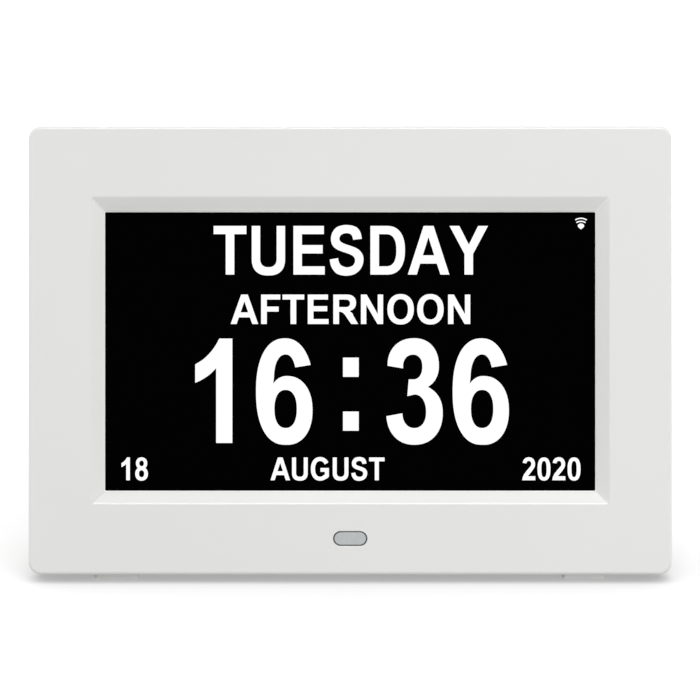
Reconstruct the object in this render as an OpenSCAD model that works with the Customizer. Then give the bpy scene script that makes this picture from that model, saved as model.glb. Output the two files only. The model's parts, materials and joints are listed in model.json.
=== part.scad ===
// Day clock: an eight inch display in a two-part moulded housing, with seven keys on the back
// and a fold-out stand. Sizes are in millimetres.
//
// Every piece is drawn in the face frame: X to the right, Y from the face (0) towards the back,
// and Z up from the bezel's lower edge (0). lean_back() then tips the clock onto its feet and
// stand, with the origin on the floor under the middle of the whole clock.

/* [Display] */
// Width of the opening in front of the display
view_w = 177.8; // [160:0.1:200]
// Height of the opening in front of the display
view_h = 101; // [91:0.1:112]
// Distance of the opening's middle below the bezel's middle
view_drop = 0.4; // [0:0.1:2]
// Width of the slope round the opening
bevel_w = 5.2; // [3:0.1:7]
// Depth of the slope round the opening
bevel_d = 3.4; // [2.4:0.1:4]
// Rounding where the slope meets the face
mouth_round = 1.5; // [0.5:0.1:2]
// Width of the small chamfer at the slope's inner edge
chamfer_w = 0.35; // [0.2:0.05:0.6]
// Straight lip between the slope and the display
lip_d = 0.8; // [0.4:0.1:1.2]
// Corner radius at the slope's outer edge
mouth_r = 2.2; // [1:0.1:5]
// Border of the display module beyond the opening's sides
panel_side = 7.5; // [6.5:0.1:8.5]
// Border of the display module beyond the opening's top and bottom
panel_end = 7.95; // [7:0.05:9]
// Depth of the display module
panel_d = 6.4; // [6:0.1:7]
// Thickness of the foam gasket
gasket_t = 0.5; // [0.3:0.1:0.8]

/* [Housing] */
// Width of the frame's face beside the opening
frame_side = 27.6; // [25:0.1:40]
// Height of the frame's face above and below the opening
frame_end = 30.75; // [28:0.05:40]
// Depth of the front bezel, face to rear rim
bezel_d = 12; // [11:0.5:13]
// Depth of the whole clock, face to rear plane
body_d = 26; // [23.5:0.5:30]
// Radius of the bezel's outer corners
corner_r = 4.6; // [3:0.1:9]
// Rounding of the bezel's front edge
edge_r = 1.3; // [0.6:0.1:2]
// Thickness of the moulded walls
wall = 2; // [1.6:0.1:2.4]
// Step from the bezel's edge to the raised back
back_inset = 10; // [8:0.5:11]
// Radius of the raised back's corners
back_r = 9; // [6:0.5:14]
// Rounding of the raised back's rear edge
back_edge_r = 4; // [2:0.5:4.5]
// Play between the rear cover's flange and the bezel
flange_play = 0.15; // [0.05:0.05:0.4]

/* [Receiver window] */
// Width of the window for the remote control
ir_w = 12.1; // [9:0.1:16]
// Height of the window for the remote control
ir_h = 5; // [4:0.1:7]
// Height of the window's middle above the bezel's lower edge
ir_z = 13.1; // [12.5:0.1:14.5]

/* [Stand] */
// Angle at which the clock leans back
lean = 15; // [14:0.5:18]
// Angle between the back and the opened stand
leg_open = 32; // [31:0.5:36]
// Height of the stand's hinge above the bezel's lower edge
hinge_z = 112; // [100:0.5:113]
// Width of the stand
leg_w = 32; // [24:0.5:36]
// Thickness of the stand
leg_t = 5.5; // [5:0.1:6]
// Radius of the steel hinge pin
pin_r = 1.25; // [1:0.05:1.5]
// Radial play of the stand on its pin
pin_play = 0.05; // [0.02:0.01:0.1]
// Play between the stand and the sides of its recess
leg_play = 0.6; // [0.3:0.1:1]

/* [Keys] */
// Distance between the middles of the keys
key_pitch = 13.5; // [12:0.1:14]
// Width of a key
key_w = 9; // [7:0.1:10]
// Height of a key
key_h = 5; // [4:0.1:5.5]
// Travel of a key
key_travel = 0.5; // [0.25:0.05:0.7]
// Height of a key above the back
key_proud = 0.8; // [0.6:0.1:1.5]
// Play round a key in its hole
key_play = 0.25; // [0.15:0.05:0.4]

/* [Wall hanging] */
// Distance between the two keyholes
hang_pitch = 150; // [130:1:160]
// Distance of the keyholes below the top of the housing's inside
hang_drop = 22.5; // [20:0.5:26]
// Radius of the hole that takes the screw's head
hang_r = 4.5; // [4:0.1:5]
// Width of the slot that takes the screw's shank
hang_slot_w = 4.2; // [3.6:0.1:5]
// Length of the slot above the hole's middle
hang_slot_l = 8; // [6.5:0.5:9]

/* [Back openings] */
// Slots in each group of vents
vent_count = 7; // [4:1:7]
// Length of a vent slot
vent_l = 40; // [24:1:46]
// Height of a vent slot
vent_h = 1.8; // [1.4:0.1:2.4]
// Distance between the vent slots
vent_pitch = 5.4; // [4.5:0.1:5.6]
// Radius of a hole in the speaker grille
grille_r = 0.9; // [0.7:0.05:1.1]
// Distance between the holes in the speaker grille
grille_pitch = 4.2; // [3.4:0.1:4.4]
// Radius of the speaker
speaker_r = 18; // [17.5:0.5:18.5]

/* [Hidden] */
$fn = 48;

tiny = 0.01;          // a cut runs this far past the face that it opens
fit = 0.2;            // gap round a piece that drops into a pocket
thread_r = 1.15;      // the self-tapping screws and the holes that they cut

// --- widths, heights and depths in the face frame ---
body_w = view_w + 2*frame_side;
body_h = view_h + 2*frame_end;
panel_w = view_w + 2*panel_side;
panel_h = view_h + 2*panel_end;
mid_z = body_h/2;
view_z = mid_z - view_drop;
face_t = wall + 0.2;                    // thickness of the bezel's face
land_y = bevel_d + lip_d;               // the rim that the gasket lies on
land_w = 2.8;                           // width of that rim
gasket_clear = 0.5;                     // the gasket's opening clears the display's by this much
panel_y = land_y + gasket_t;
panel_back = panel_y + panel_d;
back_in = body_d - wall;                // inner face of the rear cover
cavity_w = body_w - 2*back_inset - 2*wall;
cavity_h = body_h - 2*back_inset - 2*wall;
cavity_top = mid_z + cavity_h/2;
cavity_bottom = mid_z - cavity_h/2;
cavity_side = cavity_w/2;
hang_z = cavity_top - hang_drop;
panel_top = view_z + panel_h/2;
panel_bottom = view_z - panel_h/2;

// --- bosses and screws ---
boss_meet = bezel_d + 2;                // where a bezel boss meets its cover boss
boss_r = 3.5;
cover_boss_r = 4.6;
head_r = 2.7;
head_t = 1.8;
sink_r = head_r + 0.4;                  // counterbore over a case screw
sink_y = body_d - 6;                    // seat of a case screw's head
case_screw_l = 11;
case_side = 7.5;                        // from the side wall to the corner screws
case_pitch = 52;                        // from these to the middle screws of the lower row
case_x = cavity_side - case_side;
case_low_z = (cavity_bottom + panel_bottom)/2;
case_high_z = (cavity_top + panel_top)/2;
case_mid_x = case_x - case_pitch;
case_points = [
    [-case_x, case_low_z], [case_x, case_low_z], [-case_x, case_high_z], [case_x, case_high_z],
    [-case_mid_x, case_low_z], [case_mid_x, case_low_z]
];

// --- ribs round the display module ---
rib_t = 1.2;
rib_l = 16;
rib_in = 23;                            // from the module's corners to the side ribs' middles
rib_y = panel_y + 0.7*panel_d;

// --- display clips ---
clip_w = 12;
clip_t = 0.8;
clip_side = 18.4;                       // from the module's side to the clip's screw
clip_x = panel_w/2 - clip_side;
clip_off = 4.2;                         // from the module's edge to the clip's screw
clip_lap = 5;                           // how far a clip reaches over the module
clip_head_r = 2.2;
clip_head_t = 1.4;
clip_screw_l = 7;
clip_boss_r = 2.6;

// --- stand, feet and the face frame's place on the floor ---
leg_sink = 0.4;                         // the folded stand lies this far below the back
hinge_y = body_d - leg_sink - leg_t/2;
leg_r = 6;                              // corners of the stand's foot
leg_skin = 1.6;
leg_rib_count = 5;
tab_w = 16;                             // heel that stops the stand
tab_l = 7;
tab_tip = 1.9;
tab_gap = 0.1;                          // between the heel and its stop when open
recess_y = hinge_y - leg_t/2 - 0.5;     // floor of the stand's recess
recess_w = leg_w + 2*leg_play;
recess_top = hinge_z + tab_l + 2;
ear_w = 4;                              // bearing blocks at the ends of the pin
ear_h = 9;
pin_l = recess_w + 2*wall + 2*ear_w - 1;
foot_w = 16;
foot_l = 4;
foot_side = 31.5;                       // from the bezel's side to the foot's middle
foot_x = body_w/2 - foot_side;
foot_t = 0.5;                           // at its thin rear edge
foot_h = 4;                             // height of the blank that is cut level with the floor
foot_back = bezel_d - 0.5;
leg_slope = leg_open - lean;            // the open stand's angle from plumb
raise = foot_back*sin(lean) + foot_t*cos(lean);
hinge_up = hinge_z*cos(lean) - hinge_y*sin(lean) + raise;
hinge_back = hinge_z*sin(lean) + hinge_y*cos(lean);
leg_reach = hinge_up/cos(leg_slope);    // hinge to floor along the stand
pad_t = 2.4;
leg_l = leg_reach - leg_t/2*tan(leg_slope) - pad_t;
pad_w = 22;
pad_tongue_w = 16;
pad_tongue_l = 3;
pad_tongue_t = 1.6;
rear_most = hinge_back + leg_reach*sin(leg_slope) + leg_t/2/cos(leg_slope);
front_most = edge_r*(cos(lean) + sin(lean) - 1);
shift_y = -(rear_most + front_most)/2;

// --- keys ---
key_names = ["power", "menu", "left", "up", "down", "right", "ok"];
key_drop = 6.9;                         // from the top of the housing's inside
key_z = cavity_top - key_drop;
key_step = 0.4;                         // the step round a key's rear face
key_flange_t = 1.3;
key_flange_w = 0.9;                     // how far the flange reaches past the stem
key_seat = back_in - 0.1;               // rear face of the key's flange
plunger_tip = key_seat - key_flange_t;
plunger_l = 3;
plunger_r = 1.7;
switch_w = 6;
switch_t = 3.5;
switch_gap = 1.5;                       // from a pressed key to its switch
switch_top = plunger_tip - key_travel - switch_gap;
board_t = 1.6;
key_board_back = switch_top - switch_t;
key_board_end = 17.5;                   // from the outer keys to the board's ends
key_board_w = (len(key_names) - 1)*key_pitch + 2*key_board_end;
key_board_h = 12;
key_boss_x = key_board_w/2 - 4;
key_boss_r = 2.4;
key_thread_r = 0.9;
key_head_r = 1.9;
key_head_t = 1.2;
key_screw_l = 5;

// --- main board, in the right half of the back ---
board_gap = 4;                          // from the display module to the board's rear face
board_back = panel_back + board_gap;    // rear face, which carries the parts
board_front = board_back - board_t;
board_w = 70;
board_side = 4.5;                       // from the board to the side wall
board_drop = 28.5;                      // from the top of the housing's inside to the board
board_rise = 17.6;                      // from the display module's lower edge to the board
board_x1 = cavity_side - board_side;
board_x0 = board_x1 - board_w;
board_z1 = cavity_top - board_drop;
board_z0 = panel_bottom + board_rise;
board_in = 5;                           // from the board's edges to its screws
board_boss_r = 3;
board_head_r = 2.2;
board_screw_l = 6;
board_points = [
    for (x = [board_x0 + board_in, board_x1 - board_in], z = [board_z0 + board_in, board_z1 - board_in])
        [x, z]
];
// chips and coils: [from the board's left edge, down from its top, width, height, thickness]
chips = [
    [36, 35, 14, 14, 1.4], [32, 58, 11, 18, 1.1], [30.5, 3.5, 5, 4, 1.6], [36, 12, 7, 7, 3],
    [24, 48, 3.2, 8, 3], [45, 22, 5, 4, 1.5]
];
// electrolytic capacitors: [from the left edge, down from the top, radius, height]
capacitors = [[45, 5, 3.15, 5.4], [45, 15, 3.15, 5.4], [6, 56, 2.5, 5.4]];
cell_side = 16;                         // from the board's left edge to the coin cell's middle
cell_drop = 18;                         // from its top
cell_x = board_x0 + cell_side;
cell_z = board_z1 - cell_drop;
cell_r = 10;
cell_t = 3.2;
cell_floor = 1;                         // floor of the cell's holder
cell_rim = 1.4;
cell_slot_w = 8;                        // the finger slot in the holder's rim
connector_side = 11;                    // from the board's left edge to the display's connector
connector_rise = 4;                     // from its bottom
connector_x0 = board_x0 + connector_side;
connector_z = board_z0 + connector_rise;
connector_w = 30;
connector_h = 5;
connector_t = 2;
connector_wall = 0.8;
flex_t = 0.3;
flex_lap = 2;                           // how far the ribbon runs on the module and into its socket
ribbon_w = 9;
ribbon_t = 0.8;
ribbon_side = 12.5;                     // from the board's left edge to the key board's ribbon
ribbon_x = board_x0 + ribbon_side;
ribbon_lap = 5;

// --- sockets in the right side wall ---
socket_x = cavity_side + 0.4;           // mouth of the sockets, inside the wall's openings
socket_gap = 3;                         // from the sockets' rear ends to their hollows
dc_share = 0.195;                       // how far down the board each socket sits
usb_share = 0.383;
sd_share = 0.685;
dc_z = board_z1 - dc_share*(board_z1 - board_z0);
dc_w = 8;
dc_t = 5.8;
dc_l = 13;
dc_hole_r = 1.8;
dc_pin_r = 0.65;
usb_z = board_z1 - usb_share*(board_z1 - board_z0);
usb_w = 13.2;
usb_t = 5.8;
usb_l = 14;
usb_shell = 0.4;
usb_tongue_w = 11;
usb_tongue_t = 1.8;
usb_lift = 0.1;
sd_z = board_z1 - sd_share*(board_z1 - board_z0);
sd_w = 28;
sd_t = 3;
sd_l = 27;
sd_slot_w = 24.4;
sd_slot_t = 2.3;
sd_shell = 0.35;

// --- remote control receiver ---
ir_flange = 1.3;
ir_play = 0.15;                         // gap round the window in the bezel
ir_proud = 0.15;                        // the window stands this far below the face
ir_board_t = 1;
ir_board_w = 28;
ir_board_h = 7;
ir_boss_x = 9.5;
ir_boss_r = 2.1;
ir_thread_r = 0.8;
ir_chip_w = 7;
ir_chip_h = 6;
ir_chip_t = 2.8;
ir_dome_r = 2;
ir_lens_t = 0.8;                        // thickness of the window's flange
ir_board_y = face_t + ir_lens_t + fit + ir_dome_r + ir_chip_t;
ir_head_t = 1;
ir_head_r = 1.5;
ir_screw_l = 5;
ir_relief = ir_board_y + ir_board_t + ir_head_t + fit;  // the flange is cut back to here

// --- speaker ---
speaker_side = 36.5;                    // from the side wall
speaker_rise = 38;                      // from the bottom of the housing's inside
speaker_x = speaker_side - cavity_side;
speaker_z = cavity_bottom + speaker_rise;
speaker_rim = 1.2;
speaker_deep = 5;
speaker_ring_l = 3.5;                   // height of the ring that centres it
speaker_floor_r = speaker_r - 7;        // flat floor of the basket
speaker_cup_r = speaker_r - 3;          // top of its slope
speaker_sheet = 0.9;
speaker_roll_w = 2;                     // the cone's rolled edge and the rim that holds it
speaker_dust_r = 6;
magnet_r = 9;
magnet_t = 3;
speaker_back = back_in - speaker_deep;  // rear of the basket, seen from the listener

// --- leads: points in the face frame, chosen by hand ---
lead_r = 0.6;
header_w = 6;
header_h = 8;
header_t = 4.4;
header_rise = 10;                       // from the board's bottom to the headers of the leads
speaker_header_side = 14;               // from its left edge to the headers' middles
ir_header_side = 23;
header_z = board_z0 + header_rise;
speaker_header_x = board_x0 + speaker_header_side;
ir_header_x = board_x0 + ir_header_side;
lead_y = board_back + header_t/2;
speaker_lead_points = [
    [-48.5, 21, 44], [-46, 19, 38], [-38, 15.2, 33], [-20, 13.5, 31], [5, 13.5, 30.5],
    [26, 13.7, 30.5], [38, 15, 32.5], [43.5, 16.6, 38], [speaker_header_x, lead_y, 44],
    [speaker_header_x, lead_y, header_z]
];
ir_lead_points = [
    [12.2, ir_board_y + ir_board_t + 0.7, 13.8], [17, 11.1, 14.2], [26, 13.2, 16.5], [37, 13.8, 21],
    [46, 14.2, 27], [52, 15.4, 34], [ir_header_x, lead_y, 42], [ir_header_x, lead_y, header_z]
];
lead_sides = 8;
lead_steps = 3;

// ---------------------------------------------------------------- shared shapes

module lean_back()
    translate([0, shift_y, raise]) rotate([-lean, 0, 0]) children();

// the space under the floor, seen in the face frame
module under_floor()
    rotate([lean, 0, 0]) translate([-body_w, -body_w, -raise - body_w]) cube([2*body_w, 3*body_w, body_w]);

// a flat shape drawn in X and Z, with its thickness from y0 to y1
module slab(y0, y1)
    translate([0, y1, 0]) rotate([90, 0, 0]) linear_extrude(height = y1 - y0) children();

module post(x, z, r, y0, y1)
    translate([x, y1, z]) rotate([90, 0, 0]) cylinder(r = r, h = y1 - y0);

module block(x0, x1, y0, y1, z0, z1)
    translate([x0, y0, z0]) cube([x1 - x0, y1 - y0, z1 - z0]);

module rounded_rect(w, h, r) {
    square([w - 2*r, h], center = true);
    square([w, h - 2*r], center = true);
    for (x = [-1, 1], z = [-1, 1])
        translate([x*(w/2 - r), z*(h/2 - r)]) circle(r = r);
}

module pill(w, h) {
    square([w - h, h], center = true);
    for (x = [-1, 1])
        translate([x*(w - h)/2, 0]) circle(r = h/2);
}

// half of the section through a rounded edge: r wide, d tall, with the edge rounded by f
module edge_profile(r, d, f) {
    square([r, d - f]);
    square([r - f, d]);
    translate([r - f, d - f]) circle(r = f);
}

// a plate with round corners and a rounded edge round its top face
module rounded_plate(w, h, r, d, f) {
    for (x = [-1, 1], z = [-1, 1])
        translate([x*(w/2 - r), z*(h/2 - r), 0])
            rotate([0, 0, x > 0 ? (z > 0 ? 0 : -90) : (z > 0 ? 90 : 180)])
                rotate_extrude(angle = 90) edge_profile(r, d, f);
    for (a = [0, 180])
        rotate([0, 0, a]) translate([w/2 - r, h/2 - r, 0])
            rotate([90, 0, 0]) linear_extrude(height = h - 2*r) edge_profile(r, d, f);
    for (a = [90, 270])
        rotate([0, 0, a]) translate([h/2 - r, w/2 - r, 0])
            rotate([90, 0, 0]) linear_extrude(height = w - 2*r) edge_profile(r, d, f);
    translate([-w/2 + r, -h/2 + r, 0]) cube([w - 2*r, h - 2*r, d]);
}

// a screw with a pan head and a cross recess; its head's seat is at y and it points to the face
module screw(x, z, y, shank_r, l, r, t) {
    difference() {
        post(x, z, r, y, y + t);
        for (a = [0, 90])
            translate([x, y + t, z]) rotate([0, a, 0])
                cube([2*r*0.66, t, r*0.24], center = true);
    }
    post(x, z, shank_r, y - l, y);
}

// the same screw turned round, with its head towards the face
module front_screw(x, z, y, shank_r, l, r, t) {
    difference() {
        post(x, z, r, y - t, y);
        for (a = [0, 90])
            translate([x, y - t, z]) rotate([0, a, 0])
                cube([2*r*0.66, t, r*0.24], center = true);
    }
    post(x, z, shank_r, y, y + l);
}

// ---------------------------------------------------------------- leads

function unit(v) = v/norm(v);
function spline(a, b, c, d, t) =
    0.5*(2*b + (c - a)*t + (2*a - 5*b + 4*c - d)*t*t + (3*b - a - 3*c + d)*t*t*t);
function smooth(p, steps) = [
    for (i = [0:len(p) - 2], s = [0:steps - 1])
        spline(p[max(i - 1, 0)], p[i], p[i + 1], p[min(i + 2, len(p) - 1)], s/steps),
    p[len(p) - 1]
];

module tube(points, r, sides) {
    n = len(points);
    tangent = [for (i = [0:n - 1]) unit(points[min(i + 1, n - 1)] - points[max(i - 1, 0)])];
    rings = [
        for (i = [0:n - 1])
            let (u = unit(cross(tangent[i], [0, 1, 0])), v = cross(tangent[i], u))
                for (k = [0:sides - 1])
                    points[i] + r*(cos(360*k/sides)*u + sin(360*k/sides)*v)
    ];
    side_faces = [
        for (i = [0:n - 2], k = [0:sides - 1])
            let (a = i*sides + k, b = i*sides + (k + 1)%sides)
                each [[a, b, b + sides], [a, b + sides, a + sides]]
    ];
    caps = [
        [for (k = [sides - 1:-1:0]) k],
        [for (k = [0:sides - 1]) (n - 1)*sides + k]
    ];
    polyhedron(rings, concat(side_faces, caps));
}

// ---------------------------------------------------------------- front bezel

// section through the slope: [depth, distance outside the opening, corner radius, drop]
slope_angle = atan(bevel_d/bevel_w);
mouth_steps = 3;
mouth_edge = bevel_w + mouth_round*tan(slope_angle/2);
mitre_r = 0.4;                          // corner radius on the slope, where its sides meet
slope_section = [
    for (i = [0:mouth_steps])
        let (a = slope_angle*i/mouth_steps)
            [mouth_round*(1 - cos(a)), mouth_edge - mouth_round*sin(a),
                mouth_r + (mitre_r - mouth_r)*i/mouth_steps, 0],
    [bevel_d, chamfer_w, mitre_r, view_drop],
    [bevel_d + 1.4*chamfer_w, 0, mitre_r, view_drop]
];

module slope_ring(s, y0, y1)
    translate([0, 0, mid_z - s[3]]) slab(y0, y1)
        rounded_rect(view_w + 2*s[1], view_h + 2*s[1], s[2], $fn = 32);

// the slope in front of the display, as a stack of frusta between round-cornered openings
module slope_cut()
    for (i = [0:len(slope_section) - 2])
        hull() {
            slope_ring(slope_section[i], slope_section[i][0] - tiny, slope_section[i][0]);
            slope_ring(slope_section[i + 1], slope_section[i + 1][0], slope_section[i + 1][0] + tiny);
        }

// the wall behind the slope, ending in the rim that the gasket lies on
module slope_wall() {
    grow = (land_y - face_t)*bevel_w/bevel_d + land_w;
    hull() {
        slope_ring([0, grow, mouth_r, view_drop], face_t - tiny, face_t);
        slope_ring([0, land_w, 1, view_drop], land_y - tiny, land_y);
    }
}

// short ribs that keep the display module in place
module panel_ribs() {
    for (s = [-1, 1], t = [-1, 1])
        translate([s*(panel_w/2 + fit + rib_t/2), 0, view_z + t*(panel_h/2 - rib_in)])
            slab(face_t - tiny, rib_y) square([rib_t, rib_l], center = true);
    for (s = [-1, 1], t = [-1, 0, 1])
        translate([t*(panel_w/2 - 2*rib_in), 0, view_z + s*(panel_h/2 + fit + rib_t/2)])
            slab(face_t - tiny, rib_y) square([rib_l, rib_t], center = true);
}

clip_points = [
    for (x = [-clip_x, clip_x]) each
        [[x, panel_bottom - clip_off, 1], [x, panel_top + clip_off, -1]]
];

module front_bezel() {
    color("whitesmoke") lean_back() difference() {
        union() {
            difference() {
                translate([0, bezel_d, mid_z]) rotate([90, 0, 0])
                    rounded_plate(body_w, body_h, corner_r, bezel_d, edge_r);
                translate([0, 0, mid_z]) slab(face_t, bezel_d + tiny)
                    rounded_rect(body_w - 2*wall, body_h - 2*wall, corner_r - wall/2);
            }
            slope_wall();
            panel_ribs();
            for (p = case_points)
                post(p[0], p[1], boss_r, face_t - tiny, boss_meet);
            for (p = clip_points)
                post(p[0], p[1], clip_boss_r, face_t - tiny, panel_back);
            for (s = [-1, 1])
                post(s*ir_boss_x, ir_z, ir_boss_r, face_t - tiny, ir_board_y);
        }
        slope_cut();
        slope_ring([0, 0, mitre_r, view_drop], bevel_d, land_y + tiny);
        // seat of the receiver window
        translate([0, 0, ir_z]) slab(-tiny, face_t + tiny) pill(ir_w + 2*ir_play, ir_h + 2*ir_play);
        for (p = case_points)
            post(p[0], p[1], thread_r, sink_y - case_screw_l - 1, boss_meet + tiny);
        for (p = clip_points)
            post(p[0], p[1], thread_r, panel_back + clip_t - clip_screw_l - 0.5, panel_back + tiny);
        for (s = [-1, 1])
            post(s*ir_boss_x, ir_z, ir_thread_r, ir_board_y + ir_board_t - ir_screw_l - 0.3,
                ir_board_y + tiny);
    }
}

module ir_window()
    color("silver") lean_back() translate([0, 0, ir_z]) {
        slab(ir_proud, face_t) pill(ir_w, ir_h);
        slab(face_t, face_t + ir_lens_t) pill(ir_w + 2*ir_flange, ir_h + 2*ir_flange);
    }

module display_gasket()
    color("dimgray") lean_back() translate([0, 0, view_z])
        slab(land_y, panel_y) difference() {
            square([view_w + 2*land_w, view_h + 2*land_w], center = true);
            square([view_w + 2*gasket_clear, view_h + 2*gasket_clear], center = true);
        }

// ---------------------------------------------------------------- display module

lcd_steel = 0.3;
lcd_clear = 0.6;                        // the frame's opening clears the display's by this much
lcd_gap = 0.05;                         // between the frame's skirt and what it holds
lcd_inner_w = panel_w - 2*lcd_steel - 2*lcd_gap;
lcd_inner_h = panel_h - 2*lcd_steel - 2*lcd_gap;
glass_t = 1.4;
glass_y = panel_y + lcd_steel;
film_y = glass_y + glass_t;
film_t = 0.4;
guide_y = film_y + film_t;
guide_t = 2;
guide_side = 4;                         // from the module's sides to the light guide
guide_end = 5;                          // the same at the top and bottom, for the row of lamps
guide_w = panel_w - 2*guide_side;
guide_h = panel_h - 2*guide_end;
led_t = 0.9;
led_w = 3;
led_board_t = 0.6;

module lcd_frame()
    color("lightsteelblue") lean_back() translate([0, 0, view_z]) difference() {
        slab(panel_y, panel_y + 0.7*panel_d) square([panel_w, panel_h], center = true);
        slab(glass_y, panel_back) square([panel_w - 2*lcd_steel, panel_h - 2*lcd_steel], center = true);
        slab(panel_y - tiny, glass_y + tiny)
            square([view_w + 2*lcd_clear, view_h + 2*lcd_clear], center = true);
    }

module lcd_glass()
    color("black") lean_back() translate([0, 0, view_z])
        slab(glass_y, film_y) square([lcd_inner_w, lcd_inner_h], center = true);

module lcd_diffuser()
    color("white") lean_back() translate([0, 0, view_z])
        slab(film_y, guide_y) square([guide_w, guide_h], center = true);

module lcd_light_guide()
    color("azure") lean_back() translate([0, 0, view_z])
        slab(guide_y, guide_y + guide_t) square([guide_w, guide_h], center = true);

led_count = 18;
led_pitch = guide_w/(led_count + 1.5);

module led_bar()
    color("gold") lean_back() translate([0, 0, view_z - guide_h/2]) {
        for (i = [0:led_count - 1])
            translate([(i - (led_count - 1)/2)*led_pitch, 0, -led_t/2])
                slab(guide_y + 0.4, guide_y + guide_t) square([led_w, led_t], center = true);
        translate([0, 0, -led_t - led_board_t/2])
            slab(guide_y + 0.2, guide_y + guide_t) square([led_count*led_pitch, led_board_t], center = true);
    }

module lcd_back_tray()
    color("white") lean_back() translate([0, 0, view_z]) difference() {
        slab(film_y, panel_back) square([lcd_inner_w, lcd_inner_h], center = true);
        slab(film_y - tiny, guide_y + guide_t) translate([0, -(led_t + led_board_t)/2])
            square([guide_w + 2*lcd_gap, guide_h + led_t + led_board_t + 2*lcd_gap], center = true);
    }

module clip_plate(x, z, side)
    difference() {
        translate([x, 0, z + side*(clip_off + clip_lap - clip_boss_r)/2])
            slab(panel_back, panel_back + clip_t)
                rounded_rect(clip_w, clip_off + clip_lap + clip_boss_r, 1);
        post(x, z, thread_r + 0.15, panel_back - 1, panel_back + clip_t + 1);
    }

module lcd_clips()
    color("silver") lean_back()
        for (p = clip_points) clip_plate(p[0], p[1], p[2]);

module clip_screws()
    color("gray") lean_back()
        for (p = clip_points)
            screw(p[0], p[1], panel_back + clip_t, thread_r, clip_screw_l, clip_head_r, clip_head_t);

// ribbon from the module's lower edge up to the connector on the main board's front
module lcd_flex() {
    z0 = panel_bottom + flex_lap;
    z2 = connector_z - 1.5*flex_lap;
    z1 = (z0 + z2)/2;
    z3 = connector_z + flex_lap/2;
    y0 = panel_back;
    y1 = board_front - connector_t/2 - flex_t/2;
    flex_w = connector_w - 2*connector_wall - 2*fit;
    color("darkorange") lean_back()
        translate([connector_x0 + connector_wall + fit, 0, 0]) rotate([90, 0, 90])
            linear_extrude(height = flex_w) polygon([
                [y0, z0], [y0 + flex_t, z0], [y0 + flex_t, z1], [y1 + flex_t, z2], [y1 + flex_t, z3],
                [y1, z3], [y1, z2], [y0, z1]
            ]);
}

module flex_connector()
    color("ivory") lean_back() difference() {
        block(connector_x0, connector_x0 + connector_w, board_front - connector_t, board_front,
            connector_z, connector_z + connector_h);
        block(connector_x0 + connector_wall, connector_x0 + connector_w - connector_wall,
            board_front - connector_t/2 - flex_t/2 - lcd_gap,
            board_front - connector_t/2 + flex_t/2 + lcd_gap,
            connector_z - 1, connector_z + flex_lap/2 + fit);
    }

// ---------------------------------------------------------------- main board

module main_board()
    color("seagreen") lean_back() difference() {
        block(board_x0, board_x1, board_front, board_back, board_z0, board_z1);
        for (p = board_points)
            post(p[0], p[1], thread_r + 0.15, board_front - 1, board_back + 1);
    }

module board_chips()
    color("darkslategray") lean_back()
        for (c = chips)
            translate([board_x0 + c[0], 0, board_z1 - c[1]])
                slab(board_back, board_back + c[4]) square([c[2], c[3]], center = true);

module board_capacitors()
    color("slategray") lean_back()
        for (c = capacitors)
            translate([board_x0 + c[0], 0, board_z1 - c[1]]) {
                post(0, 0, c[2], board_back, board_back + 0.8);
                post(0, 0, c[2] - 0.25, board_back + 0.8, board_back + 1.4);
                post(0, 0, c[2], board_back + 1.4, board_back + c[3]);
            }

module coin_cell_holder()
    color("dimgray") lean_back() difference() {
        post(cell_x, cell_z, cell_r + cell_rim, board_back, board_back + cell_t + cell_rim);
        post(cell_x, cell_z, cell_r + fit/2, board_back + cell_floor, board_back + cell_t + 2*cell_rim);
        block(cell_x - cell_slot_w/2, cell_x + cell_slot_w/2, board_back + cell_rim,
            board_back + cell_t + 2*cell_rim, cell_z - cell_r - 2*cell_rim, cell_z);
    }

module coin_cell()
    color("silver") lean_back()
        post(cell_x, cell_z, cell_r, board_back + cell_floor, board_back + cell_floor + cell_t);

module lead_headers()
    color("ivory") lean_back()
        for (x = [speaker_header_x, ir_header_x])
            block(x - header_w/2, x + header_w/2, board_back, board_back + header_t,
                header_z, header_z + header_h);

module board_screws()
    color("gray") lean_back() {
        for (p = board_points)
            front_screw(p[0], p[1], board_front, thread_r, board_screw_l, board_head_r, clip_head_t);
        for (s = [-1, 1])
            front_screw(s*key_boss_x, key_z, key_board_back - board_t, key_thread_r, key_screw_l,
                key_head_r, key_head_t);
    }

dc_y = board_back + dc_t/2;

module dc_jack()
    color("dimgray") lean_back() {
        difference() {
            block(socket_x - dc_l, socket_x, board_back, board_back + dc_t, dc_z - dc_w/2, dc_z + dc_w/2);
            translate([socket_x - dc_l + socket_gap, dc_y, dc_z]) rotate([0, 90, 0])
                cylinder(r = dc_hole_r, h = dc_l);
        }
        translate([socket_x - dc_l + socket_gap/2, dc_y, dc_z]) rotate([0, 90, 0])
            cylinder(r = dc_pin_r, h = dc_l - socket_gap);
    }

usb_y = board_back + usb_lift + usb_t/2;

module usb_port()
    color("silver") lean_back() difference() {
        union() {
            block(socket_x - usb_l, socket_x, board_back + usb_lift, board_back + usb_lift + usb_t,
                usb_z - usb_w/2, usb_z + usb_w/2);
            block(socket_x - usb_l, socket_x - usb_l/2, board_back, board_back + usb_lift + usb_shell,
                usb_z - usb_w/2, usb_z + usb_w/2);
        }
        block(socket_x - usb_l + socket_gap, socket_x + 1, board_back + usb_lift + usb_shell,
            board_back + usb_lift + usb_t - usb_shell, usb_z - usb_w/2 + usb_shell,
            usb_z + usb_w/2 - usb_shell);
    }

module usb_tongue()
    color("ivory") lean_back()
        block(socket_x - usb_l + socket_gap, socket_x - 1.2, usb_y + 0.3, usb_y + 0.3 + usb_tongue_t,
            usb_z - usb_tongue_w/2, usb_z + usb_tongue_w/2);

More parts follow.
